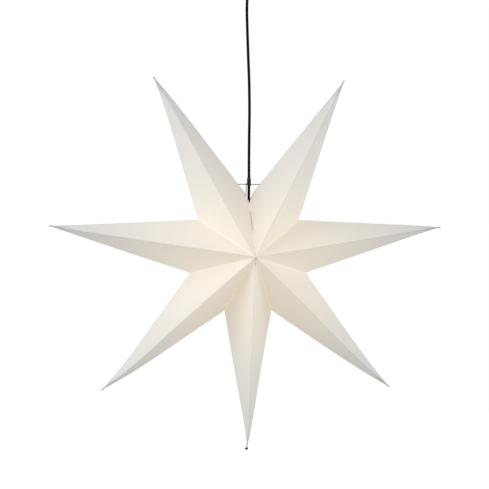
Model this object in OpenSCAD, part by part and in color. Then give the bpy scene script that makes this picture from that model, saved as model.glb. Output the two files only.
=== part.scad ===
/* [Star] */
// Length of a paper point, from the hub's centre to its tip
point_length = 400; // [330:5:480]
// Length of the bottom point, which is folded a little shorter
bottom_point_length = 392; // [320:2:480]
// Distance from the star's middle plane to its front or back peak
peak_depth = 112; // [90:1:130]
// Distance from the hub's centre to a notch between two points
notch_radius = 123; // [110:1:140]
// Distance from the hub's centre to the notch where the cord goes in
top_notch_radius = 114; // [106:1:124]
// Most that a point at the side has sagged, in degrees
sag_angle = 4.9; // [0:0.1:7]
// How evenly the sag spreads from the sides to the top and bottom
sag_power = 0.6; // [0.4:0.05:1]
// Height of the hub's centre below the ceiling
hub_drop = 620; // [615:1:640]

/* [Paper] */
// Thickness of the folded paper
paper = 0.4; // [0.3:0.05:0.6]
// Width of the glued flap along each seam
flap_width = 8; // [5:0.5:11]
// Diameter of the small gap where the seven points meet at a peak
peak_gap_diameter = 3; // [2:0.5:5]
// Width of a tip where the paper is pinched together
pinch_width = 3.2; // [2.4:0.1:3.6]
// Width of a tip at its very end
tip_end_width = 2.2; // [1.4:0.1:2.4]
// Length of the pinched tip beyond the folded faces
tip_overrun = 2; // [1:0.5:4]

/* [Cord opening] */
// Diameter of the opening that the cord goes through
opening_diameter = 15.6; // [15:0.2:17]
// Width of the slit that is left open beside the opening
slit_width = 2; // [1:0.5:3]
// Reach of the slit to the front and back of the middle plane
slit_reach = 22; // [16:1:30]

/* [Cord and wires] */
// Diameter of the textile cord
cord_diameter = 5.6; // [4.8:0.1:5.8]
// Diameter of the spreader wire between the two top points
spreader_diameter = 1.6; // [1.2:0.1:1.8]
// Height of the spreader wire above the hub's centre
spreader_height = 141; // [138:1:144]
// Distance of the spreader wire behind the cord's centre
spreader_offset = 4.4; // [4.2:0.1:4.8]
// Half the length of the spreader wire's straight part
spreader_half_length = 35; // [31:1:40]
// Length of the hook at each end of the spreader wire
hook_length = 7; // [4:0.5:10]
// Diameter of the wire leg that steadies the lamp holder
leg_diameter = 1.5; // [1:0.1:1.6]
// Distance of the wire leg to the left of the cord's centre
leg_offset = 5; // [4.9:0.1:5.1]
// Width of the cord grip
grip_width = 8; // [7.5:0.1:8]
// Length of the cord grip
grip_length = 16.4; // [15:0.2:19]
// Height of the cord grip's lower end above the hub's centre
grip_height = 138.6; // [138:0.1:139]

/* [Lamp] */
// Height of the lamp cap's end contact above the hub's centre
contact_height = 37; // [32:1:40]
// Diameter of the bulb's globe
globe_diameter = 45; // [40:1:50]
// Length of the bulb with its cap
bulb_length = 78; // [74:1:85]
// Diameter of the bulb's metal cap
bulb_cap_diameter = 13.8; // [13.4:0.1:14]
// Outer diameter of the lamp holder
holder_diameter = 28; // [26:1:32]
// Length of the holder's body
holder_body_length = 40; // [36:1:42]
// Length of the holder's cap without its strain relief
holder_cap_length = 26; // [22:1:28]

/* [Ceiling cup] */
// Outer diameter of the ceiling cup
cup_diameter = 66; // [60:1:90]
// Height of the ceiling cup
cup_height = 45; // [38:1:46]
// Thickness of the cup's wall
cup_wall = 1.8; // [1.4:0.1:2.5]
// Thickness of the ceiling plate
plate_thickness = 2; // [1.5:0.5:3]

/* [Bead] */
// Diameter of the bead on the bottom tip
bead_diameter = 6.6; // [5.6:0.2:8]
// Height of the bead
bead_height = 4.6; // [4:0.2:5.4]
// Tilt of the bead, with its right side up
bead_tilt = 10; // [0:1:15]

/* [Fits] */
// Gap between a piece and the hole it goes through
fit_gap = 0.1; // [0.05:0.05:0.2]

/* [Hidden] */
$fn = 48;

// Longer than anything that is cut through
far = 1000;

// Directions in the star's plane are angles from straight up, to the right as seen from the front
points_in_star = 7;
step = 360 / points_in_star;
front_peak = [0, -peak_depth, 0];
back_peak = [0, peak_depth, 0];

function heading(angle) = [sin(angle), 0, cos(angle)];
function unit(v) = v / norm(v);
function sagged(angle) = angle + sag_angle * pow(sin(angle), sag_power);

// Notch 0 is at the top, and notches 1 to 3 follow down the right side
function notch(i) = (i == 0 ? top_notch_radius : notch_radius) * heading(sagged(i * step));
// Point 0 is the top right one, and point 3 is the bottom one
function tip(i) = (i == 3 ? bottom_point_length : point_length) * heading(sagged((i + 0.5) * step));
// The notch below point i: for the bottom point it is notch 3 on the left side
function lower_notch(i) = i == 3 ? [-notch(3)[0], 0, notch(3)[2]] : notch(i + 1);

// Inward normals of a point's upper and lower front faces
function upper_normal(i) = unit(cross(front_peak - tip(i), notch(i) - tip(i)));
function lower_normal(i) = unit(cross(lower_notch(i) - tip(i), front_peak - tip(i)));

// Move of the tip that sets all four faces of point i inwards by a distance
function inset_move(i, distance) =
    let (u = upper_normal(i), l = lower_normal(i), d = u[0] * l[2] - u[2] * l[0])
    distance / d * [l[2] - u[2], 0, u[0] - l[0]];

// A solid of the outer shape of point i, between the two seams
module point_solid(i) {
    polyhedron(
        points = [tip(i), front_peak, notch(i), back_peak, lower_notch(i)],
        faces = [[0, 1, 2], [0, 2, 3], [0, 3, 4], [0, 4, 1], [1, 3, 2], [3, 1, 4]]
    );
}

// The same solid with its faces set inwards and run out through both seams
inset_growth = 1.2;
module inset_solid(i, distance) {
    translate(tip(i) + inset_move(i, distance))
        scale(inset_growth)
            translate(-tip(i))
                point_solid(i);
}

// The space between the two seams of point i, with each side moved in by a distance
module between_seams(i, distance) {
    up = unit(notch(i));
    low = unit(lower_notch(i));
    middle = unit(up + low);
    start = distance / sqrt(1 - pow(up * middle, 2)) * middle;
    ends = [start, start + far * up, start + far * low];
    rotate([90, 0, 0])
        linear_extrude(height = far, center = true)
            polygon([for (e = ends) [e[0], e[2]]]);
}

// The tip where the four faces are pinched into a slender neck, along the tip's direction
pinch_reach = 14;
module pinched_tip(i) {
    direction = unit(tip(i));
    rotate([0, atan2(direction[0], direction[2]), 0])
        translate([0, 0, norm(tip(i))])
            polyhedron(
                points = [
                    for (e = [[pinch_width / 2, -pinch_reach], [tip_end_width / 2, tip_overrun]])
                        for (s = [[1, 0], [0, 1], [-1, 0], [0, -1]]) [s[0] * e[0], s[1] * e[0], e[1]]
                ],
                faces = [[0, 1, 2, 3], [7, 6, 5, 4], [0, 4, 5, 1], [1, 5, 6, 2], [2, 6, 7, 3], [3, 7, 4, 0]]
            );
}

// One folded sheet: four faces that meet at the tip, with a glue flap along each seam
module folded_sheet(i) {
    difference() {
        union() {
            point_solid(i);
            pinched_tip(i);
        }
        intersection() {
            inset_solid(i, paper);
            between_seams(i, paper);
        }
        inset_solid(i, flap_width);
        rotate([90, 0, 0])
            cylinder(d = peak_gap_diameter, h = far, center = true);
    }
}

// What is open between the two top points: the round opening, the slit and the wire's holes
module top_cuts() {
    cylinder(d = opening_diameter, h = spreader_height);
    translate([-slit_width / 2, -slit_reach, 0])
        cube([slit_width, 2 * slit_reach, spreader_height]);
    translate([0, spreader_offset, spreader_height])
        rotate([0, 90, 0])
            cylinder(d = spreader_diameter + 2 * fit_gap, h = 2 * spreader_half_length, center = true);
}

module paper_point(i) {
    color("ivory")
        at_hub()
            difference() {
                folded_sheet(i);
                if (i == 0)
                    top_cuts();
            }
}

module at_hub() {
    translate([0, 0, -hub_drop])
        children();
}

module left_side() {
    mirror([1, 0, 0])
        children();
}

// Oval bead with a shallow socket for the end of the bottom tip
socket_diameter = tip_end_width + 6 * fit_gap;
socket_depth = 1;
bead_shift = -0.6;
module tip_bead() {
    bead_top = -bottom_point_length - tip_overrun + socket_depth / 2;
    color("dimgray")
        at_hub()
            translate([bead_shift, 0, bead_top - bead_height / 2])
                rotate([0, -bead_tilt, 0])
                    difference() {
                        rotate_extrude()
                            bead_profile();
                        translate([-bead_shift, 0, bead_height / 2 - socket_depth])
                            cylinder(d = socket_diameter, h = bead_height);
                    }
}

// Half of a slot shape: the bead is flat above and below and round at its side
module bead_profile() {
    square([(bead_diameter - bead_height) / 2, bead_height / 2]);
    translate([0, -bead_height / 2])
        square([(bead_diameter - bead_height) / 2, bead_height / 2]);
    translate([(bead_diameter - bead_height) / 2, 0])
        intersection() {
            circle(d = bead_height);
            translate([0, -bead_height / 2])
                square([bead_height / 2, bead_height]);
        }
}

// Route of the cord's centre line, as distances to the right and up from the hub's centre
cord_low_end = 68;
cord_high_end = hub_drop - cup_height + 17;
cord_route = [
    [0, cord_low_end], [0, 90], [0, 112], [0, 136], [0, 156], [-0.3, 190], [-0.2, 238], [0, 287],
    [-1, 340], [-3.6, 400], [-6.2, 465], [-6.8, 500], [-5, 520], [-1.5, 534], [0, 543], [0, 550],
    [0, 574], [0, cord_high_end]
];
cord_sides = 12;
rings_per_stretch = 4;

// A smooth curve through the route: each stretch is a cubic between two route points
function route_point(i) = cord_route[min(max(i, 0), len(cord_route) - 1)];
function route_slope(i) =
    let (before = route_point(i - 1), after = route_point(i + 1))
    (after - before) / (after[1] - before[1]);
function cord_x(i, t) =
    let (
        a = route_point(i), b = route_point(i + 1), rise = b[1] - a[1],
        sa = route_slope(i)[0] * rise, sb = route_slope(i + 1)[0] * rise
    )
    a[0] * (1 - 3 * t * t + 2 * t * t * t) + b[0] * (3 * t * t - 2 * t * t * t)
    + sa * (t - 2 * t * t + t * t * t) + sb * (t * t * t - t * t);
function cord_z(i, t) = route_point(i)[1] + t * (route_point(i + 1)[1] - route_point(i)[1]);
cord_rings = [
    for (i = [0:len(cord_route) - 2])
        for (k = [0:rings_per_stretch - 1])
            let (t = k / rings_per_stretch)
            [cord_x(i, t), cord_z(i, t)],
    cord_route[len(cord_route) - 1]
];

module cord() {
    radius = cord_diameter / 2;
    ring_count = len(cord_rings);
    side_faces = [
        for (j = [0:ring_count - 2])
            for (k = [0:cord_sides - 1])
                let (n = (k + 1) % cord_sides, a = j * cord_sides)
                [a + k, a + cord_sides + k, a + cord_sides + n, a + n]
    ];
    low_end = [for (k = [0:cord_sides - 1]) k];
    high_end = [for (k = [0:cord_sides - 1]) ring_count * cord_sides - 1 - k];
    color("black")
        at_hub()
            polyhedron(
                points = [
                    for (ring = cord_rings)
                        for (k = [0:cord_sides - 1])
                            let (angle = 360 * k / cord_sides)
                            [ring[0] + radius * cos(angle), radius * sin(angle), ring[1]]
                ],
                faces = concat([low_end], [high_end], side_faces)
            );
}

// Sleeve clamped on the cord, with a lug behind it that the spreader wire goes through
grip_taper = 5;
grip_lip = 0.5;
grip_lug_radius = 2.2;
module grip_outline() {
    circle(d = grip_width);
    translate([-grip_lug_radius, 0])
        square([2 * grip_lug_radius, spreader_offset]);
    translate([0, spreader_offset])
        circle(r = grip_lug_radius);
}

module cord_grip() {
    color("black")
        at_hub()
            difference() {
                union() {
                    translate([0, 0, grip_height])
                        linear_extrude(height = grip_length - grip_taper)
                            grip_outline();
                    translate([0, 0, grip_height + grip_length - grip_taper])
                        cylinder(d1 = grip_width, d2 = cord_diameter + 2 * grip_lip, h = grip_taper);
                }
                cylinder(d = cord_diameter + 2 * fit_gap, h = far);
                translate([0, spreader_offset, spreader_height])
                    rotate([0, 90, 0])
                        cylinder(d = spreader_diameter + 2 * fit_gap, h = far, center = true);
            }
}

// Straight wire with a bend and a hook at each end, inside the two top points
module spreader_wire() {
    color("silver")
        at_hub()
            translate([0, spreader_offset, spreader_height]) {
                rotate([0, 90, 0])
                    cylinder(d = spreader_diameter, h = 2 * spreader_half_length, center = true);
                for (side = [-1, 1])
                    translate([side * spreader_half_length, 0, 0]) {
                        sphere(d = spreader_diameter);
                        translate([0, 0, -hook_length])
                            cylinder(d = spreader_diameter, h = hook_length);
                    }
            }
}

// Wire leg: an eye on the spreader wire, and a straight part down into the holder's cap
cap_joint = contact_height + 17;
holder_top = cap_joint + holder_cap_length;
leg_seat_depth = 4;
module wire_leg() {
    eye_radius = spreader_diameter / 2 + fit_gap + leg_diameter / 2;
    leg_low_end = holder_top - leg_seat_depth;
    color("lightgray")
        at_hub()
            translate([-leg_offset, spreader_offset, 0]) {
                translate([0, 0, spreader_height])
                    rotate([0, 90, 0])
                        rotate_extrude()
                            translate([eye_radius, 0])
                                circle(d = leg_diameter);
                translate([0, 0, leg_low_end])
                    cylinder(d = leg_diameter, h = spreader_height - eye_radius - leg_low_end);
            }
}

// Holder parts, each measured along the lamp's axis from the hub's centre
body_low_end = cap_joint - holder_body_length;
spigot_length = 8;
holder_wall = 2;
holder_top_thickness = 6;
spigot_diameter = holder_diameter - 2 * holder_wall - 2 * fit_gap;
insert_diameter = spigot_diameter - 2 * holder_wall - 2 * fit_gap;
insert_low_end = contact_height + 2;
insert_height = 12;

// Tapered sleeve where the cord leaves a housing, with grooves round it that let it bend
relief_length = 22;
relief_base_diameter = 11;
relief_end_diameter = 8.4;
groove_count = 4;
groove_width = 1.6;
groove_depth = 0.5;
module strain_relief() {
    difference() {
        cylinder(d1 = relief_end_diameter, d2 = relief_base_diameter, h = relief_length);
        for (i = [1:groove_count])
            let (
                part = i / (groove_count + 1),
                width = relief_end_diameter + part * (relief_base_diameter - relief_end_diameter)
            )
            translate([0, 0, part * relief_length - groove_width / 2])
                difference() {
                    cylinder(d = relief_base_diameter + groove_width, h = groove_width);
                    cylinder(d = width - 2 * groove_depth, h = groove_width);
                }
    }
}

module holder_cap() {
    outer = holder_diameter / 2;
    inner = outer - holder_wall;
    rounding = 5;
    color("black")
        at_hub()
            difference() {
                union() {
                    translate([0, 0, cap_joint])
                        rotate_extrude()
                            union() {
                                square([outer, holder_cap_length - rounding]);
                                square([outer - rounding, holder_cap_length]);
                                translate([outer - rounding, holder_cap_length - rounding])
                                    intersection() {
                                        circle(r = rounding);
                                        square(rounding);
                                    }
                            }
                    translate([0, 0, holder_top + relief_length])
                        mirror([0, 0, 1])
                            strain_relief();
                }
                translate([0, 0, cap_joint])
                    cylinder(r = inner, h = holder_cap_length - holder_top_thickness);
                cylinder(d = cord_diameter + 2 * fit_gap, h = far);
                translate([-leg_offset, spreader_offset, holder_top - leg_seat_depth])
                    cylinder(d = leg_diameter + 2 * fit_gap, h = far);
            }
}

mouth_diameter = 15;
module holder_body() {
    color("black")
        at_hub()
            difference() {
                union() {
                    translate([0, 0, body_low_end])
                        cylinder(d = holder_diameter, h = holder_body_length);
                    translate([0, 0, cap_joint])
                        cylinder(d = spigot_diameter, h = spigot_length);
                }
                translate([0, 0, body_low_end])
                    cylinder(d = mouth_diameter, h = far);
                translate([0, 0, insert_low_end])
                    cylinder(d = insert_diameter + 2 * fit_gap, h = far);
            }
}

// Insulating block that carries the contacts, seated on the body's shelf
screw_diameter = 3;
screw_offset = 5.5;
contact_strip = 0.8;
contact_width = 4;
module contact_insert() {
    color("whitesmoke")
        at_hub()
            difference() {
                translate([0, 0, insert_low_end])
                    cylinder(d = insert_diameter, h = insert_height);
                for (side = [-1, 1])
                    translate([side * screw_offset, 0, insert_low_end + insert_height - screw_length])
                        cylinder(d = screw_diameter + 2 * fit_gap, h = screw_length);
            }
}

// Spring strip between the insert's underside and the lamp's end contact
module centre_contact() {
    color("gold")
        at_hub() {
            translate([-contact_width / 2, -contact_width / 2, insert_low_end - contact_strip])
                cube([contact_width, contact_width, contact_strip]);
            translate([-contact_width / 2, -contact_strip / 2, contact_height])
                cube([contact_width, contact_strip, insert_low_end - contact_height]);
        }
}

// Upright strip in the mouth that bears on the side of the lamp's cap
side_contact_length = 9;
module side_contact() {
    gap = (mouth_diameter - bulb_cap_diameter) / 2;
    color("gold")
        at_hub()
            intersection() {
                translate([-contact_width / 2, bulb_cap_diameter / 2, insert_low_end - side_contact_length])
                    cube([contact_width, gap, side_contact_length]);
                cylinder(d = mouth_diameter - 2 * fit_gap, h = far);
            }
}

screw_head_diameter = 5;
screw_head_height = 2;
screw_length = 7;
slot_width = 0.8;
module terminal_screw(side) {
    top = insert_low_end + insert_height;
    color("gold")
        at_hub()
            translate([side * screw_offset, 0, top])
                difference() {
                    union() {
                        translate([0, 0, -screw_length])
                            cylinder(d = screw_diameter, h = screw_length);
                        cylinder(d = screw_head_diameter, h = screw_head_height);
                    }
                    translate([-screw_head_diameter, -slot_width / 2, screw_head_height / 2])
                        cube([2 * screw_head_diameter, slot_width, screw_head_height]);
                }
}

// Opal bulb: end contact, metal cap, and a neck that widens into the globe
end_contact_height = 2;
end_contact_diameter = 6;
bulb_cap_length = 20;
// The neck's cone starts inside the globe, this far above its centre and in from its radius
neck_start_height = 6;
neck_start_inset = 1.6;
module bulb() {
    color("white")
        at_hub()
            rotate_extrude()
                bulb_profile();
}

module bulb_profile() {
    globe_radius = globe_diameter / 2;
    globe_centre = contact_height - bulb_length + globe_radius;
    cap_end = contact_height - end_contact_height - bulb_cap_length;
    neck_start = globe_centre + neck_start_height;
    translate([0, contact_height - end_contact_height])
        square([end_contact_diameter / 2, end_contact_height]);
    translate([0, cap_end])
        square([bulb_cap_diameter / 2, bulb_cap_length]);
    polygon([
        [0, neck_start],
        [globe_radius - neck_start_inset, neck_start],
        [bulb_cap_diameter / 2, cap_end],
        [0, cap_end]
    ]);
    translate([0, globe_centre])
        intersection() {
            circle(r = globe_radius);
            translate([0, -globe_radius])
                square([globe_radius, 2 * globe_radius]);
        }
}

// Ceiling fitting, measured down from the ceiling
plate_diameter = cup_diameter - 2 * cup_wall - 2 * fit_gap;
plate_rim_height = 12;
plate_screw_spacing = 40;
plate_screw_hole = 4.5;
cup_screw_depth = 7;
cup_screw_diameter = 3;
module ceiling_plate() {
    color("silver")
        difference() {
            translate([0, 0, -plate_rim_height])
                cylinder(d = plate_diameter, h = plate_rim_height);
            translate([0, 0, -plate_rim_height - plate_thickness])
                cylinder(d = plate_diameter - 2 * plate_thickness, h = plate_rim_height);
            for (side = [-1, 1])
                translate([side * plate_screw_spacing / 2, 0, 0])
                    cylinder(d = plate_screw_hole, h = far, center = true);
            cup_screw_bore();
        }
}

module cup_screw_bore() {
    translate([0, 0, -cup_screw_depth])
        rotate([-90, 0, 0])
            cylinder(d = cup_screw_diameter + 2 * fit_gap, h = far);
}

cup_rim_gap = 0.5;
cup_rounding = 9;
bush_diameter = 10;
module cup_profile(radius, height, rounding) {
    square([radius - rounding, height]);
    translate([0, rounding])
        square([radius, height - rounding]);
    translate([radius - rounding, rounding])
        intersection() {
            circle(r = rounding);
            translate([0, -rounding])
                square(rounding);
        }
}

module ceiling_cup() {
    low_end = -cup_rim_gap - cup_height;
    color("black")
        difference() {
            translate([0, 0, low_end])
                rotate_extrude()
                    cup_profile(cup_diameter / 2, cup_height, cup_rounding);
            translate([0, 0, low_end + cup_wall])
                rotate_extrude()
                    cup_profile(cup_diameter / 2 - cup_wall, cup_height, cup_rounding - cup_wall);
            cylinder(d = bush_diameter + 2 * fit_gap, h = far, center = true);
            cup_screw_bore();
        }
}

// Bush that grips the cord: a collar and a strain relief below the cup, and a nut inside it
collar_diameter = 16;
collar_height = 4;
bush_length = 8;
module cord_gland() {
    cup_low_end = -cup_rim_gap - cup_height;
    color("black")
        difference() {
            union() {
                translate([0, 0, cup_low_end - collar_height - relief_length])
                    strain_relief();
                translate([0, 0, cup_low_end - collar_height])
                    cylinder(d = collar_diameter, h = collar_height);
                translate([0, 0, cup_low_end])
                    cylinder(d = bush_diameter, h = bush_length);
            }
            cylinder(d = cord_diameter + 2 * fit_gap, h = far, center = true);
        }
}

nut_width = 16;
nut_height = 3.5;
module gland_nut() {
    color("silver")
        translate([0, 0, -cup_rim_gap - cup_height + cup_wall])
            difference() {
                cylinder(d = nut_width, h = nut_height, $fn = 6);
                cylinder(d = bush_diameter + 2 * fit_gap, h = far, center = true);
            }
}

module cup_screw() {
    head_diameter = 5.5;
    head_height = 2;
    reach = cup_wall + plate_thickness + 2;
    color("silver")
        translate([0, cup_diameter / 2, -cup_screw_depth])
            rotate([90, 0, 0])
                difference() {
                    union() {
                        translate([0, 0, -head_height])
                            cylinder(d = head_diameter, h = head_height);
                        cylinder(d = cup_screw_diameter, h = reach);
                    }
                    translate([-head_diameter, -slot_width / 2, -1.5 * head_height])
                        cube([2 * head_diameter, slot_width, head_height]);
                }
}

left_side() paper_point(0);  // ray_top_left
left_side() paper_point(1);  // ray_left
left_side() paper_point(2);  // ray_lower_left
paper_point(3);  // ray_bottom
paper_point(2);  // ray_lower_right
paper_point(1);  // ray_right
paper_point(0);  // ray_top_right
tip_bead();
cord();
cord_grip();
spreader_wire();
wire_leg();
holder_cap();
holder_body();
contact_insert();
centre_contact();
side_contact();
terminal_screw(-1);  // terminal_screw_left
terminal_screw(1);  // terminal_screw_right
bulb();
ceiling_plate();
ceiling_cup();
cord_gland();
gland_nut();
cup_screw();
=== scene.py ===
"""Dresses the folded paper advent star: paper, cord, wires, lamp and ceiling cup, with a plain stage."""
import bisect
import math

import bpy
from bpy.props import FloatProperty, FloatVectorProperty, IntProperty, PointerProperty
from mathutils import Matrix, Vector, noise


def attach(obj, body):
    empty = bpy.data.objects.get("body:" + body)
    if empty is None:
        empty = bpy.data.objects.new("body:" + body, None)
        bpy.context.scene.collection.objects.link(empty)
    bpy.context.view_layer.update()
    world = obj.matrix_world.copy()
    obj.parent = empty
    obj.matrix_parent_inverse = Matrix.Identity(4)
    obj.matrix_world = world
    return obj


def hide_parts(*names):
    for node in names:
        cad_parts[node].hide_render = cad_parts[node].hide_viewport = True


bl_info = {
    "name": "Paper Advent Star",
    "version": (1, 0, 0),
    "blender": (4, 5, 0),
    "location": "3D Viewport > Sidebar > Star",
    "description": "Makes the paper, cord, wires, lamp and ceiling cup of a folded advent star",
    "category": "Object",
}

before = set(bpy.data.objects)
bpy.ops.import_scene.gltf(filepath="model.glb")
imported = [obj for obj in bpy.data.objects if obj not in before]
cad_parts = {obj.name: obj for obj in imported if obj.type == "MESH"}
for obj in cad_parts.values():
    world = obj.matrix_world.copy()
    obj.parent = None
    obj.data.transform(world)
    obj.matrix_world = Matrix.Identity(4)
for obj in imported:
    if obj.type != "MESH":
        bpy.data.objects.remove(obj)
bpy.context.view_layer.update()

MM = 0.001
BODY = "root"
# The hub's centre lies this far below the ceiling
HUB = Vector((0, 0, -620 * MM))
LEFT_TO_RIGHT = ("ray_left", "ray_lower_left", "ray_top_left", "ray_bottom",
                 "ray_top_right", "ray_lower_right", "ray_right")


def linear(hex_colour):
    """An sRGB hex colour as linear red, green, blue and alpha."""
    channels = [int(hex_colour[i:i + 2], 16) / 255 for i in (1, 3, 5)]
    return [c / 12.92 if c <= 0.04045 else ((c + 0.055) / 1.055) ** 2.4 for c in channels] + [1.0]


class PaperSettings(bpy.types.PropertyGroup):
    colour: FloatVectorProperty(
        name="Paper colour", description="Colour of the unlit paper", subtype="COLOR",
        size=4, min=0, max=1, default=linear("#e3e3e2"))
    glow_colour: FloatVectorProperty(
        name="Glow colour", description="Colour of the lamp's light as it comes through the paper",
        subtype="COLOR", size=4, min=0, max=1, default=(1.0, 0.75, 0.38, 1))
    glow_strength: FloatProperty(
        name="Glow strength", description="How bright the paper glows at the hub",
        default=0.218, min=0, max=2)
    glow_reach: FloatProperty(
        name="Glow reach", description="Distance over which the glow falls to about a third",
        default=280 * MM, min=0.01, unit="LENGTH")
    seam_width: FloatProperty(
        name="Seam line width", description="Width of the bright line that light makes along a glued seam",
        default=1.1 * MM, min=0.0001, unit="LENGTH")


class CordSettings(bpy.types.PropertyGroup):
    diameter: FloatProperty(
        name="Cord diameter", description="Diameter of the braided cord",
        default=5.6 * MM, min=0.001, unit="LENGTH")
    yarns: IntProperty(
        name="Yarns", description="Number of yarn crossings round the cord", default=8, min=4)
    colour: FloatVectorProperty(
        name="Cord colour", description="Colour of the cord's yarn", subtype="COLOR",
        size=4, min=0, max=1, default=linear("#12110f"))


class StageSettings(bpy.types.PropertyGroup):
    distance: FloatProperty(
        name="Camera distance", description="Distance of the camera from the hub",
        default=2.6, min=0.5, unit="LENGTH")
    azimuth: FloatProperty(
        name="Camera azimuth", description="Turn of the camera round the star, from the front",
        default=-0.128, subtype="ANGLE")
    elevation: FloatProperty(
        name="Camera elevation", description="Height of the camera above the hub, as an angle",
        default=0.051, subtype="ANGLE")
    roll: FloatProperty(
        name="Camera roll", description="Turn of the camera about its own line of sight",
        default=0.008, subtype="ANGLE")
    lens: FloatProperty(
        name="Lens", description="Focal length in millimetres on a 36 mm sensor", default=94.8, min=10)
    floor_depth: FloatProperty(
        name="Floor depth", description="Distance of the floor below the ceiling",
        default=2.4, min=1.2, unit="LENGTH")


# Slow wave that the folded card takes on. It is still out to the first distance from the hub, where the wires
# and the lamp are, and whole from the second one on. Near the bottom tip, which holds the bead, it stills again
WAVE_LENGTH = 160 * MM
WAVE_HEIGHT = 0.8 * MM
WAVE_STARTS = (150 * MM, 210 * MM)
WAVE_STOPS_AT_BEAD = (380 * MM, 330 * MM)
# Picks the wave. Without it Blender seeds its noise from the clock, and the card differs in each run
WAVE_SEED = 1795763662
# Corners nearer the star's mirror plane than the first of these, farther in front of or behind its middle plane
# than the second, and higher above the hub than the third, are on the edges of the slit below the cord
SLIT_HALF_WIDTH = 1.3 * MM
SLIT_DEPTH = 11 * MM
SLIT_LOW_END = 60 * MM
# A point bends from this distance from the hub to its tip, and the bend sets in softly over these two
BEND_STARTS = 45 * MM
BEND_SETS_IN = (95 * MM, 150 * MM)
# Bend of each point from straight: how far it bows, clockwise as seen from the front, and where along it
# the bow is deepest (a higher power puts it nearer the tip)
BENDS = {
    "ray_top_left": (3.0 * MM, 2.5),
    "ray_left": (-1.2 * MM, 1.6),
    "ray_lower_left": (-4.2 * MM, 2.2),
    "ray_bottom": (-2.2 * MM, 5.0),
    "ray_lower_right": (3.4 * MM, 2.2),
    "ray_right": (-1.4 * MM, 3.0),
    "ray_top_right": (0, 1.6),
}


def smooth_step(low, high, value):
    """0 up to low and 1 from high on, with a soft run between them."""
    t = min(max((value - low) / (high - low), 0), 1)
    return t * t * (3 - 2 * t)


def select_only(*objects):
    bpy.ops.object.select_all(action="DESELECT")
    for obj in objects:
        obj.select_set(True)
    bpy.context.view_layer.objects.active = objects[0]


def add_node(tree, kind, inputs=None, **settings):
    """Adds a shader node. inputs maps a socket's name or number to a value, or to a socket linked to it."""
    node = tree.nodes.new(kind)
    for name, value in settings.items():
        setattr(node, name, value)
    for name, value in (inputs or {}).items():
        if isinstance(value, bpy.types.NodeSocket):
            tree.links.new(value, node.inputs[name])
        else:
            node.inputs[name].default_value = value
    return node


def calculate(tree, operation, *values):
    """A Math node's result. Each value is a number or a socket."""
    return add_node(tree, "ShaderNodeMath", dict(enumerate(values)), operation=operation).outputs[0]


def ramp(tree, value, start, end, low, high, shape="LINEAR"):
    """Runs from low to high while the value runs from start to end."""
    inputs = {"Value": value, "From Min": start, "From Max": end, "To Min": low, "To Max": high}
    return add_node(tree, "ShaderNodeMapRange", inputs, interpolation_type=shape).outputs["Result"]


def vector_result(tree, operation, output, **inputs):
    """A Vector Math node's result. The inputs a, b and scale are numbers, vectors or sockets."""
    sockets = {"a": 0, "b": 1, "scale": 3}
    return add_node(tree, "ShaderNodeVectorMath", {sockets[name]: value for name, value in inputs.items()},
                    operation=operation).outputs[output]


def dimmed(tree, colour, factor):
    """A colour times a factor, for a colour socket."""
    return vector_result(tree, "SCALE", "Vector", a=colour[:3], scale=factor)


def separate(tree, vector):
    """The three numbers of a vector."""
    return add_node(tree, "ShaderNodeSeparateXYZ", {0: vector}).outputs


def uv_place(tree, name):
    return add_node(tree, "ShaderNodeUVMap", uv_map=name).outputs["UV"]


def object_place(tree):
    return add_node(tree, "ShaderNodeTexCoord").outputs["Object"]


def noise_texture(tree, place, size, detail):
    """Soft noise whose patches are about this many metres across."""
    inputs = {"Vector": place, "Scale": 1 / size, "Detail": detail}
    return add_node(tree, "ShaderNodeTexNoise", inputs).outputs["Fac"]


def add_bump(tree, shader, height, strength, distance):
    bump = add_node(tree, "ShaderNodeBump", {"Height": height, "Strength": strength, "Distance": distance})
    tree.links.new(bump.outputs["Normal"], shader.inputs["Normal"])


def new_material(name, **principled):
    """An empty node material with a Principled shader that has these constant inputs."""
    material = bpy.data.materials.new(name)
    material.use_nodes = True
    tree = material.node_tree
    tree.nodes.clear()
    shader = add_node(tree, "ShaderNodeBsdfPrincipled", principled)
    add_node(tree, "ShaderNodeOutputMaterial", {"Surface": shader.outputs["BSDF"]})
    material.diffuse_color = shader.inputs["Base Color"].default_value
    return material, tree, shader


def finish_piece(obj, material, node):
    """Gives a finished piece its material, body and slot, and hides the CAD node that it stands for."""
    obj.data.materials.clear()
    obj.data.materials.append(material)
    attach(obj, BODY)
    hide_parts(node)


def paint_nodes(material, *names):
    """Gives CAD nodes, whose shape is kept, a better material."""
    for name in names:
        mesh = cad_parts[name].data
        mesh.materials.clear()
        mesh.materials.append(material)


def copy_of_node(node, name):
    """A separate copy of a CAD node's mesh, with its loose triangles merged."""
    obj = bpy.data.objects.new(name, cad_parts[node].data.copy())
    bpy.context.collection.objects.link(obj)
    select_only(obj)
    bpy.ops.object.mode_set(mode="EDIT")
    bpy.ops.mesh.select_all(action="SELECT")
    bpy.ops.mesh.customdata_custom_splitnormals_clear()
    bpy.ops.mesh.remove_doubles(threshold=0.005 * MM)
    bpy.ops.object.mode_set(mode="OBJECT")
    bpy.ops.object.shade_flat()
    return obj


# Faces that meet at more than this angle have an edge between them
EDGE_ANGLE = math.radians(32)


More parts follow.
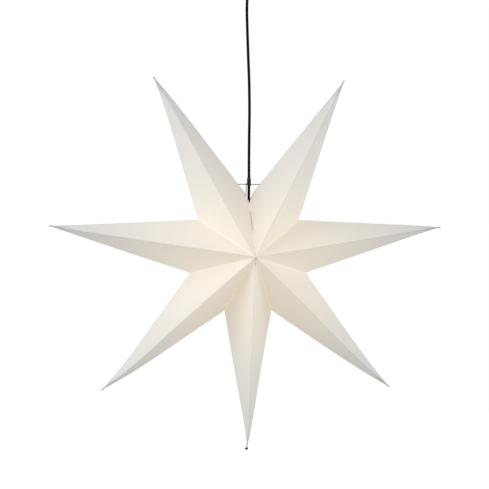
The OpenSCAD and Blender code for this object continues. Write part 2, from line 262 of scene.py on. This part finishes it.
def soften_piece(node, name, edge_radius, material):
    """Finishes a CAD node as a piece with its hard edges rounded, as moulding or stamping leaves them."""
    obj = copy_of_node(node, name)
    bpy.ops.object.mode_set(mode="EDIT")
    bpy.ops.mesh.select_all(action="SELECT")
    bpy.ops.mesh.dissolve_limited(angle_limit=math.radians(0.5))
    bpy.ops.object.mode_set(mode="OBJECT")
    bevel = obj.modifiers.new("edges", "BEVEL")
    bevel.width = edge_radius
    bevel.segments = 2
    bevel.limit_method = "ANGLE"
    bevel.angle_limit = EDGE_ANGLE
    bevel.harden_normals = False
    bpy.ops.object.modifier_apply(modifier="edges")
    bpy.ops.object.shade_smooth_by_angle(angle=EDGE_ANGLE)
    finish_piece(obj, material, node)


def lamp_glow(tree, settings, place, distance, height):
    """How strongly the lamp's light comes through the paper at each place."""
    # It falls slowly at first and then fast, because little light gets down into the narrow points
    share = calculate(tree, "DIVIDE", distance, settings.glow_reach)
    fall = calculate(tree, "MULTIPLY", calculate(tree, "POWER", share, 3.0), -1.0)
    glow = calculate(tree, "EXPONENT", fall)
    # The black lamp holder above the bulb keeps some of its light off the paper beside the cord
    upright = calculate(tree, "DIVIDE", height, distance)
    glow = calculate(tree, "MULTIPLY", glow, ramp(tree, upright, 0.6, 0.98, 1.0, 0.75, "SMOOTHSTEP"))
    # Card is cloudy where its fibres have clumped, every 5 mm or so
    clouds = noise_texture(tree, place, 5 * MM, detail=3.0)
    glow = calculate(tree, "MULTIPLY", glow, ramp(tree, clouds, 0.3, 0.7, 0.97, 1.03))
    return calculate(tree, "MULTIPLY", glow, settings.glow_strength)


def seam_shine(tree, settings, sideways, height, from_axis):
    """How much brighter the glow is along a glued seam, where light leaks through, and how much painted shade
    dims it where the top seam is pressed together.
    """
    # The seam map holds the distance from each of the sheet's two seams, in metres
    nearest = calculate(tree, "MINIMUM", *separate(tree, uv_place(tree, "seam_distance"))[:2])
    line = ramp(tree, nearest, settings.seam_width * 0.4, settings.seam_width, 1.0, 0.0, "SMOOTHSTEP")
    # At the hub the glue flaps of all the points lie over each other, and no light comes through a seam
    line = calculate(tree, "MULTIPLY", line, ramp(tree, from_axis, 3 * MM, 16 * MM, 0.0, 1.0))
    # Below the cord's opening the top seam gapes and shines. Below that its edges are pressed together, where
    # painted shade dims the glow
    gape = ramp(tree, height, 84 * MM, 92 * MM, 0.0, 2.2)
    painted_seam_shade = ramp(tree, height, 40 * MM, 50 * MM, 0.0, -0.9)
    top_seam = calculate(tree, "LESS_THAN", sideways, 6 * MM)
    shine = calculate(tree, "MULTIPLY_ADD", calculate(tree, "ADD", gape, painted_seam_shade), top_seam, 0.36)
    return calculate(tree, "MULTIPLY_ADD", line, shine, 1.0)


def painted_paper_shade(tree, distance, sideways, depth, height):
    """Painted shade: how much of its white the card keeps at its outer folds, creases, gaps and tips."""
    # The outer folds lie in the star's middle plane. Painted shade greys the card a little along them, and more
    # towards its tips
    fold = ramp(tree, calculate(tree, "ABSOLUTE", depth), 0.2 * MM, 1.8 * MM, 0.86, 1.0, "SMOOTHSTEP")
    tip = ramp(tree, distance, 350 * MM, 396 * MM, 1.0, 0.76, "SMOOTHSTEP")
    # Painted shade: the crease along each point's front and back ridge shows as a fine grey line
    from_crease = separate(tree, uv_place(tree, "crease_distance"))[0]
    crease = ramp(tree, from_crease, 0.3 * MM, 1.4 * MM, 0.9, 1.0, "SMOOTHSTEP")
    painted_shade = calculate(tree, "MULTIPLY", calculate(tree, "MULTIPLY", fold, tip), crease)
    # Painted shade: a short gap just below the hub and the pressed edges of the top seam are thin dark lines
    for centre, half_length, darkening in ((-8 * MM, 9 * MM, -0.35), (68 * MM, 18 * MM, -0.18)):
        here = calculate(tree, "COMPARE", height, centre, half_length)
        middle = ramp(tree, sideways, 0.5 * MM, 1.8 * MM, darkening, 0.0)
        painted_shade = calculate(tree, "MULTIPLY", painted_shade, calculate(tree, "MULTIPLY_ADD", here, middle, 1.0))
    return painted_shade


def paper_material(settings):
    """Uncoated white card: matt, with a faint cloudy look-through where the lamp lights it from behind."""
    material, tree, shader = new_material(
        "uncoated white card", **{"Roughness": 0.8, "Specular IOR Level": 0.25, "Emission Strength": 1.0})
    place = object_place(tree)
    from_hub = vector_result(tree, "SUBTRACT", "Vector", a=place, b=HUB)
    distance = vector_result(tree, "LENGTH", "Value", a=from_hub)
    from_axis = vector_result(tree, "LENGTH", "Value",
                              a=vector_result(tree, "MULTIPLY", "Vector", a=from_hub, b=(1, 0, 1)))
    across, depth, height = separate(tree, from_hub)
    sideways = calculate(tree, "ABSOLUTE", across)

    # Painted shade at the card's outer folds, creases, gaps and tips
    painted_shade = painted_paper_shade(tree, distance, sideways, depth, height)
    glow = calculate(tree, "MULTIPLY", lamp_glow(tree, settings, place, distance, height),
                     seam_shine(tree, settings, sideways, height, from_axis))
    # Painted shade dims the lamp's glow there as well
    glow = calculate(tree, "MULTIPLY", glow, painted_shade)
    tree.links.new(dimmed(tree, settings.glow_colour, glow), shader.inputs["Emission Color"])

    # Faint flecks in the sheet's own white
    flecks = ramp(tree, noise_texture(tree, place, 1.2 * MM, detail=2.0), 0.3, 0.7, 0.985, 1.0)
    # The sheet's white, with painted shade at its folds, creases, gaps and tips
    white = calculate(tree, "MULTIPLY", flecks, painted_shade)
    tree.links.new(dimmed(tree, settings.colour, white), shader.inputs["Base Color"])

    # The card's fibres are about 0.4 mm across. They are drawn twice as coarse, to be seen at all
    add_bump(tree, shader, noise_texture(tree, place, 0.8 * MM, detail=4.0), 0.12, 0.05 * MM)
    return material


def textile_material(settings):
    """Braided polyester yarn: deep matt black, with every crossing of two yarns standing up a little."""
    material, tree, shader = new_material("braided black yarn", **{
        "Base Color": settings.colour, "Roughness": 0.95, "Specular IOR Level": 0.12})
    # The map counts the yarns that wind one way in its first number and the other way in its second
    counts = uv_place(tree, "braid")
    one_way, other_way = (
        calculate(tree, "ABSOLUTE", calculate(tree, "SINE", calculate(tree, "MULTIPLY", count, math.pi)))
        for count in separate(tree, counts)[:2])
    # At every other crossing the yarn of the other way lies on top
    over = add_node(tree, "ShaderNodeTexChecker", {"Vector": counts, "Scale": 1.0}).outputs["Fac"]
    yarn = add_node(tree, "ShaderNodeMix", {0: over, 2: one_way, 3: other_way}).outputs[0]
    add_bump(tree, shader, yarn, 0.45, 0.2 * MM)
    # Little light gets down between the yarns
    colour = dimmed(tree, settings.colour, ramp(tree, yarn, 0.0, 1.0, 0.3, 1.0))
    tree.links.new(colour, shader.inputs["Base Color"])
    return material


def black_plastic_material():
    """Moulded black polycarbonate: fine spark-eroded grain, low sheen."""
    material, tree, shader = new_material("moulded black polycarbonate", **{
        "Base Color": linear("#101012"), "Specular IOR Level": 0.3})
    grain = noise_texture(tree, object_place(tree), 0.5 * MM, detail=3.0)
    tree.links.new(ramp(tree, grain, 0.0, 1.0, 0.42, 0.58), shader.inputs["Roughness"])
    add_bump(tree, shader, grain, 0.15, 0.03 * MM)
    return material


def metal_material(name, hex_colour, roughness):
    """Plain drawn or pressed metal with fine drawing marks."""
    material, tree, shader = new_material(name, **{"Base Color": linear(hex_colour), "Metallic": 1.0})
    marks = noise_texture(tree, object_place(tree), 0.7 * MM, detail=3.0)
    rough = ramp(tree, marks, 0.0, 1.0, roughness - 0.06, roughness + 0.08)
    tree.links.new(rough, shader.inputs["Roughness"])
    return material


def bulb_material(cap_end):
    """Lit opal glass: a warm even glow, a little cloudy. From cap_end up the bulb is its plain metal cap."""
    material, tree, shader = new_material("opal glass with nickel cap", **{
        "Roughness": 0.25, "Emission Strength": 1.0})
    place = object_place(tree)
    glass = calculate(tree, "LESS_THAN", separate(tree, place)[2], cap_end)
    clouds = ramp(tree, noise_texture(tree, place, 12 * MM, detail=2.0), 0.3, 0.7, 0.88, 1.0)
    glow = dimmed(tree, linear("#ffeed2"), calculate(tree, "MULTIPLY", clouds, glass))
    tree.links.new(glow, shader.inputs["Emission Color"])
    # The cap's nickel and the glass's white
    colour = add_node(tree, "ShaderNodeMix", {"Factor": glass, 6: linear("#b9b4aa"), 7: linear("#f4efe6")},
                      data_type="RGBA").outputs[2]
    tree.links.new(colour, shader.inputs["Base Color"])
    tree.links.new(calculate(tree, "SUBTRACT", 1.0, glass), shader.inputs["Metallic"])
    return material


def speckled_material(name, hex_colour, roughness, speck, darkest):
    """A moulded or fired material with darker, smoother grains about this many metres across."""
    material, tree, shader = new_material(name)
    grain = noise_texture(tree, object_place(tree), speck, detail=3.0)
    colour = dimmed(tree, linear(hex_colour), ramp(tree, grain, 0.35, 0.6, darkest, 1.0))
    tree.links.new(colour, shader.inputs["Base Color"])
    rough = ramp(tree, grain, 0.0, 1.0, roughness - 0.1, roughness + 0.1)
    tree.links.new(rough, shader.inputs["Roughness"])
    add_bump(tree, shader, grain, 0.1, 0.03 * MM)
    return material


def sheet_seams(node):
    """A paper point's tip, and its two seam planes as unit normals that point into the sheet."""
    corners = [v.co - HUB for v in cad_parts[node].data.vertices]
    tip = max(corners, key=lambda p: p.length)
    across = Vector((tip.z, 0, -tip.x)).normalized()
    middle = [p for p in corners if abs(p.y) < 1 * MM]
    normals = []
    for side in (1, -1):
        notch = max(middle, key=lambda p: side * p.dot(across))
        if abs(notch.x) < 10 * MM:
            # The top notch itself is cut away round the cord
            notch = Vector((0, 0, 1))
        normals.append(Vector((notch.z, 0, -notch.x)).normalized() * -side)
    return tip, normals


class STAR_OT_camera(bpy.types.Operator):
    """Make the camera at the photograph's viewing angle"""
    bl_idname = "star.camera"
    bl_label = "Camera"

    def execute(self, context):
        settings = context.scene.star_stage
        level = math.cos(settings.elevation)
        back = Vector((math.sin(settings.azimuth) * level, -math.cos(settings.azimuth) * level,
                       math.sin(settings.elevation)))
        right = (-back).cross(Vector((0, 0, 1))).normalized()
        up = right.cross(-back)
        turned_right = right * math.cos(settings.roll) + up * math.sin(settings.roll)
        turned_up = up * math.cos(settings.roll) - right * math.sin(settings.roll)
        bpy.ops.object.camera_add()
        camera = context.object
        camera.name = "camera"
        camera.matrix_world = Matrix.Translation(HUB + back * settings.distance) @ Matrix(
            (turned_right, turned_up, back)).transposed().to_4x4()
        camera.data.lens = settings.lens
        # The hub's place in the photograph, in its pixels
        image_size, hub_x, hub_y = 489, 248.35, 254.26
        camera.data.shift_x = (image_size / 2 - hub_x) / image_size
        camera.data.shift_y = (hub_y - image_size / 2) / image_size
        context.scene.camera = camera
        return {"FINISHED"}


# Route of the cord's centre line: distance to the right, and height above the hub, in millimetres
CORD_ROUTE = (
    (0, 68), (0, 90), (0, 112), (0, 136), (0, 156), (-0.3, 190), (-0.2, 238), (0, 287), (-1, 340), (-3.6, 400),
    (-6.2, 465), (-6.8, 500), (-5, 520), (-1.5, 534), (0, 543), (0, 550), (0, 574), (0, 592),
)


def cord_line():
    """Points along the cord, on a smooth cubic through its route."""
    def slope(i):
        a, b = CORD_ROUTE[max(i - 1, 0)], CORD_ROUTE[min(i + 1, len(CORD_ROUTE) - 1)]
        return (b[0] - a[0]) / (b[1] - a[1])
    steps = 6
    line = []
    for i, (a, b) in enumerate(zip(CORD_ROUTE, CORD_ROUTE[1:])):
        rise = b[1] - a[1]
        for t in (k / steps for k in range(steps)):
            x = (a[0] * (1 - 3 * t ** 2 + 2 * t ** 3) + b[0] * (3 * t ** 2 - 2 * t ** 3)
                 + slope(i) * rise * (t - 2 * t ** 2 + t ** 3) + slope(i + 1) * rise * (t ** 3 - t ** 2))
            line.append(HUB + Vector((x, 0, a[1] + t * rise)) * MM)
    return line + [HUB + Vector((CORD_ROUTE[-1][0], 0, CORD_ROUTE[-1][1])) * MM]


class STAR_OT_cord(bpy.types.Operator):
    """Make the braided cord from the lamp holder up to the ceiling cup"""
    bl_idname = "star.cord"
    bl_label = "Cord"

    def execute(self, context):
        settings = context.scene.star_cord
        line = cord_line()
        curve = bpy.data.curves.new("cord", "CURVE")
        curve.dimensions = "3D"
        spline = curve.splines.new("POLY")
        spline.points.add(len(line) - 1)
        for point, place in zip(spline.points, line):
            point.co = (*place, 1)
        curve.bevel_depth = settings.diameter / 2
        curve.bevel_resolution = 6
        curve.use_fill_caps = True
        obj = bpy.data.objects.new("braided_cord", curve)
        context.collection.objects.link(obj)
        select_only(obj)
        bpy.ops.object.convert(target="MESH")
        obj = context.object
        bpy.ops.object.shade_smooth_by_angle(angle=math.radians(50))
        self.map_braid(obj.data, line, settings)
        finish_piece(obj, textile_material(settings), "cord")
        return {"FINISHED"}

    def map_braid(self, mesh, line, settings):
        """Counts the yarns of the braid along each of their two ways, from the lower end of the cord up."""
        layer = mesh.uv_layers.new(name="braid")
        along = [0.0]
        for a, b in zip(line, line[1:]):
            along.append(along[-1] + (b - a).length)
        pitch = math.pi * settings.diameter / settings.yarns
        heights = [point.z for point in line]
        for face in mesh.polygons:
            corners = []
            for index in face.loop_indices:
                place = mesh.vertices[mesh.loops[index].vertex_index].co
                # The cord only ever climbs, so its height gives the place along it
                i = min(max(bisect.bisect_right(heights, place.z) - 1, 0), len(line) - 2)
                t = (place.z - line[i].z) / (line[i + 1].z - line[i].z)
                centre = line[i].lerp(line[i + 1], t)
                angle = math.atan2(place.y - centre.y, place.x - centre.x) / math.tau
                corners.append([index, angle, (along[i] + t * (along[i + 1] - along[i])) / pitch])
            # A face that crosses the back line counts on instead of starting again
            if max(c[1] for c in corners) - min(c[1] for c in corners) > 0.5:
                for corner in corners:
                    corner[1] += 1 if corner[1] < 0 else 0
            for index, angle, rise in corners:
                turn = angle * settings.yarns
                layer.data[index].uv = (turn + rise, turn - rise)


class STAR_OT_paper(bpy.types.Operator):
    """Make the seven folded paper points"""
    bl_idname = "star.paper"
    bl_label = "Paper points"

    def execute(self, context):
        material = paper_material(context.scene.star_paper)
        for node in LEFT_TO_RIGHT:
            tip, seams = sheet_seams(node)
            obj = copy_of_node(node, node.replace("ray", "paper_point"))
            bpy.ops.object.mode_set(mode="EDIT")
            bpy.ops.mesh.select_all(action="SELECT")
            bpy.ops.mesh.subdivide(number_cuts=9)
            bpy.ops.object.mode_set(mode="OBJECT")
            if tip.z > 200 * MM:
                self.close_slit(obj.data)
            self.map_lines(obj.data, tip, seams)
            self.relax(obj.data)
            self.bend(obj.data, tip, *BENDS[node])
            bpy.ops.object.shade_smooth_by_angle(angle=math.radians(6))
            finish_piece(obj, material, node)
        return {"FINISHED"}

    def map_lines(self, mesh, tip, seams):
        """Stores each corner's distance from the sheet's two seam planes and from its creases' plane."""
        layers = [mesh.uv_layers.new(name=name).name for name in ("seam_distance", "crease_distance")]
        seam_layer, crease_layer = (mesh.uv_layers[name].data for name in layers)
        crease = Vector((tip.z, 0, -tip.x)).normalized()
        for loop in mesh.loops:
            place = mesh.vertices[loop.vertex_index].co - HUB
            seam_layer[loop.index].uv = [seam.dot(place) for seam in seams]
            crease_layer[loop.index].uv = (abs(crease.dot(place)), 0)

    def relax(self, mesh):
        """Moves the card by a slow wave of a fraction of a millimetre, as card never folds quite straight."""
        noise.seed_set(WAVE_SEED)
        for vertex in mesh.vertices:
            place = vertex.co - HUB
            reach = place.length
            free = smooth_step(*WAVE_STARTS, reach)
            if place.z < 0 and abs(place.x) < 20 * MM:
                free *= smooth_step(*WAVE_STOPS_AT_BEAD, reach)
            vertex.co += noise.noise_vector(place / WAVE_LENGTH) * WAVE_HEIGHT * free

    def close_slit(self, mesh):
        """Presses the two edges of the slit below the cord together, in front and behind."""
        for vertex in mesh.vertices:
            place = vertex.co - HUB
            if abs(place.x) < SLIT_HALF_WIDTH and abs(place.y) > SLIT_DEPTH and place.z > SLIT_LOW_END:
                vertex.co.x *= 0.05

    def bend(self, mesh, tip, bow, power):
        """Bows a point sideways between its seams and its tip, as the sheet took it when it was glued."""
        along = tip.normalized()
        clockwise = Vector((along.z, 0, -along.x))
        for vertex in mesh.vertices:
            reach = (vertex.co - HUB).dot(along)
            t = min(max((reach - BEND_STARTS) / (tip.length - BEND_STARTS), 0), 1)
            share = math.sin(math.pi * t ** power) * smooth_step(*BEND_SETS_IN, reach)
            vertex.co += clockwise * bow * share


class STAR_OT_fittings(bpy.types.Operator):
    """Finish the cord grip, the wires and the bead on the bottom tip"""
    bl_idname = "star.fittings"
    bl_label = "Grip, wires and bead"

    def execute(self, context):
        plastic = black_plastic_material()
        steel = metal_material("drawn steel wire", "#71716f", 0.32)
        # Matt rubber with the faint grey bloom of its filler
        rubber = speckled_material("moulded dark rubber", "#2d2d2e", 0.7, speck=0.6 * MM, darkest=0.8)
        soften_piece("cord_grip", "grip_sleeve", 0.3 * MM, plastic)
        soften_piece("tip_bead", "bead", 0.2 * MM, rubber)
        paint_nodes(steel, "spreader_wire", "wire_leg")
        return {"FINISHED"}


# From the end of the bulb's contact down to the glass
BULB_CAP_LENGTH = 22 * MM


class STAR_OT_lamp(bpy.types.Operator):
    """Finish the lamp holder and its bulb inside the star"""
    bl_idname = "star.lamp"
    bl_label = "Lamp"

    def execute(self, context):
        plastic = black_plastic_material()
        brass = metal_material("pressed brass", "#c9a556", 0.3)
        # Fired white ceramic with fine grey-brown specks
        ceramic = speckled_material("white steatite", "#ece9e1", 0.5, speck=0.5 * MM, darkest=0.9)
        # The metal cap and its end contact make up the bulb's upper end
        top = max(vertex.co.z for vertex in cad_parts["bulb"].data.vertices)
        paint_nodes(bulb_material(top - BULB_CAP_LENGTH), "bulb")
        paint_nodes(ceramic, "contact_insert")
        paint_nodes(brass, "centre_contact", "side_contact", "terminal_screw_left", "terminal_screw_right")
        soften_piece("holder_cap", "socket_cap", 0.5 * MM, plastic)
        soften_piece("holder_body", "socket_body", 0.5 * MM, plastic)
        return {"FINISHED"}


class STAR_OT_ceiling_fitting(bpy.types.Operator):
    """Finish the plate, cup, gland, nut and screw at the ceiling"""
    bl_idname = "star.ceiling_fitting"
    bl_label = "Ceiling fitting"

    def execute(self, context):
        plastic = black_plastic_material()
        zinc = metal_material("zinc plated steel", "#b4b6b8", 0.35)
        soften_piece("ceiling_cup", "cup", 0.4 * MM, plastic)
        soften_piece("cord_gland", "gland", 0.4 * MM, plastic)
        paint_nodes(zinc, "ceiling_plate", "gland_nut", "cup_screw")
        return {"FINISHED"}


# Soft lamps: place from the hub in metres, size in metres, power in watts
LAMPS = {
    "daylight from the upper left": ((-2.28, -0.93, 1.7), 1.8, 18),
    "near light on the upper left": ((-1.85, -1.55, 1.0), 1.3, 7.8),
    "near light on the upper right": ((1.85, -1.55, 0.7), 1.3, 8.0),
    "side light on the left": ((-3.0, -0.5, 0), 1.8, 9.5),
    "side light on the right": ((3.0, -0.5, 0), 1.8, 11.5),
}


# Strength of the even white light from all around, and of the white added to the floor as it is seen
SURROUNDINGS = 0.56
FLOOR_LIFT = 0.6


class STAR_OT_stage(bpy.types.Operator):
    """Make the floor, the soft lamps and the world"""
    bl_idname = "star.stage"
    bl_label = "Stage"

    def execute(self, context):
        settings = context.scene.star_stage
        for name, (place, size, power) in LAMPS.items():
            at = HUB + Vector(place)
            towards_hub = (HUB - at).to_track_quat("-Z", "Y").to_euler()
            bpy.ops.object.light_add(type="AREA", location=at, rotation=towards_hub)
            lamp = context.object
            lamp.name = name
            lamp.data.shape = "DISK"
            lamp.data.size = size
            lamp.data.energy = power
            lamp.visible_camera = False
        self.make_floor(settings)
        self.make_world(context.scene)
        context.scene.view_settings.view_transform = "Standard"
        return {"FINISHED"}

    def make_floor(self, settings):
        bpy.ops.mesh.primitive_plane_add(size=16, location=(0, 0, -settings.floor_depth))
        floor = bpy.context.object
        floor.name = "floor"
        bpy.ops.object.transform_apply()
        material, tree, shader = new_material("matt white floor", **{
            "Base Color": linear("#e9e8e6"), "Roughness": 0.9, "Specular IOR Level": 0.1})
        # Seen directly, in a mirror or through glass, the floor is lifted to the background's white
        seen = seen_directly(tree)
        white = add_node(tree, "ShaderNodeEmission", {"Color": linear("#ffffff"), "Strength": FLOOR_LIFT})
        both = add_node(tree, "ShaderNodeAddShader", {
            0: shader.outputs["BSDF"], 1: white.outputs["Emission"]})
        mix = add_node(tree, "ShaderNodeMixShader", {
            "Fac": seen, 1: shader.outputs["BSDF"], 2: both.outputs["Shader"]})
        output = next(n for n in tree.nodes if n.type == "OUTPUT_MATERIAL")
        tree.links.new(mix.outputs["Shader"], output.inputs["Surface"])
        floor.data.materials.append(material)

    def make_world(self, scene):
        world = bpy.data.worlds.new("soft white surroundings")
        world.use_nodes = True
        tree = world.node_tree
        tree.nodes.clear()
        light = add_node(tree, "ShaderNodeBackground", {"Color": linear("#fffefd"), "Strength": SURROUNDINGS})
        white = add_node(tree, "ShaderNodeBackground", {"Color": linear("#ffffff"), "Strength": 1.0})
        mix = add_node(tree, "ShaderNodeMixShader", {
            "Fac": seen_directly(tree), 1: light.outputs["Background"], 2: white.outputs["Background"]})
        add_node(tree, "ShaderNodeOutputWorld", {"Surface": mix.outputs["Shader"]})
        scene.world = world


def seen_directly(tree):
    """1 for camera, glossy and transmission rays, so that metal and glass show the same white background."""
    rays = add_node(tree, "ShaderNodeLightPath").outputs
    either = calculate(tree, "MAXIMUM", rays["Is Camera Ray"], rays["Is Glossy Ray"])
    return calculate(tree, "MAXIMUM", either, rays["Is Transmission Ray"])


STEPS = (STAR_OT_camera, STAR_OT_cord, STAR_OT_paper, STAR_OT_fittings, STAR_OT_lamp, STAR_OT_ceiling_fitting,
         STAR_OT_stage)


class STAR_PT_panel(bpy.types.Panel):
    bl_idname = "STAR_PT_panel"
    bl_label = "Paper advent star"
    bl_space_type = "VIEW_3D"
    bl_region_type = "UI"
    bl_category = "Star"

    def draw(self, context):
        for group in (context.scene.star_paper, context.scene.star_cord, context.scene.star_stage):
            box = self.layout.box()
            for name in group.__annotations__:
                box.prop(group, name)
        for step in STEPS:
            self.layout.operator(step.bl_idname)


SETTINGS = {"star_paper": PaperSettings, "star_cord": CordSettings, "star_stage": StageSettings}
CLASSES = (*SETTINGS.values(), *STEPS, STAR_PT_panel)


def register():
    for cls in CLASSES:
        bpy.utils.register_class(cls)
    for name, cls in SETTINGS.items():
        setattr(bpy.types.Scene, name, PointerProperty(type=cls))


def unregister():
    for name in SETTINGS:
        delattr(bpy.types.Scene, name)
    for cls in reversed(CLASSES):
        bpy.utils.unregister_class(cls)


def main():
    register()
    bpy.ops.star.camera()
    bpy.ops.star.cord()
    bpy.ops.star.paper()
    bpy.ops.star.fittings()
    bpy.ops.star.lamp()
    bpy.ops.star.ceiling_fitting()
    bpy.ops.star.stage()


if __name__ == "__main__":
    main()
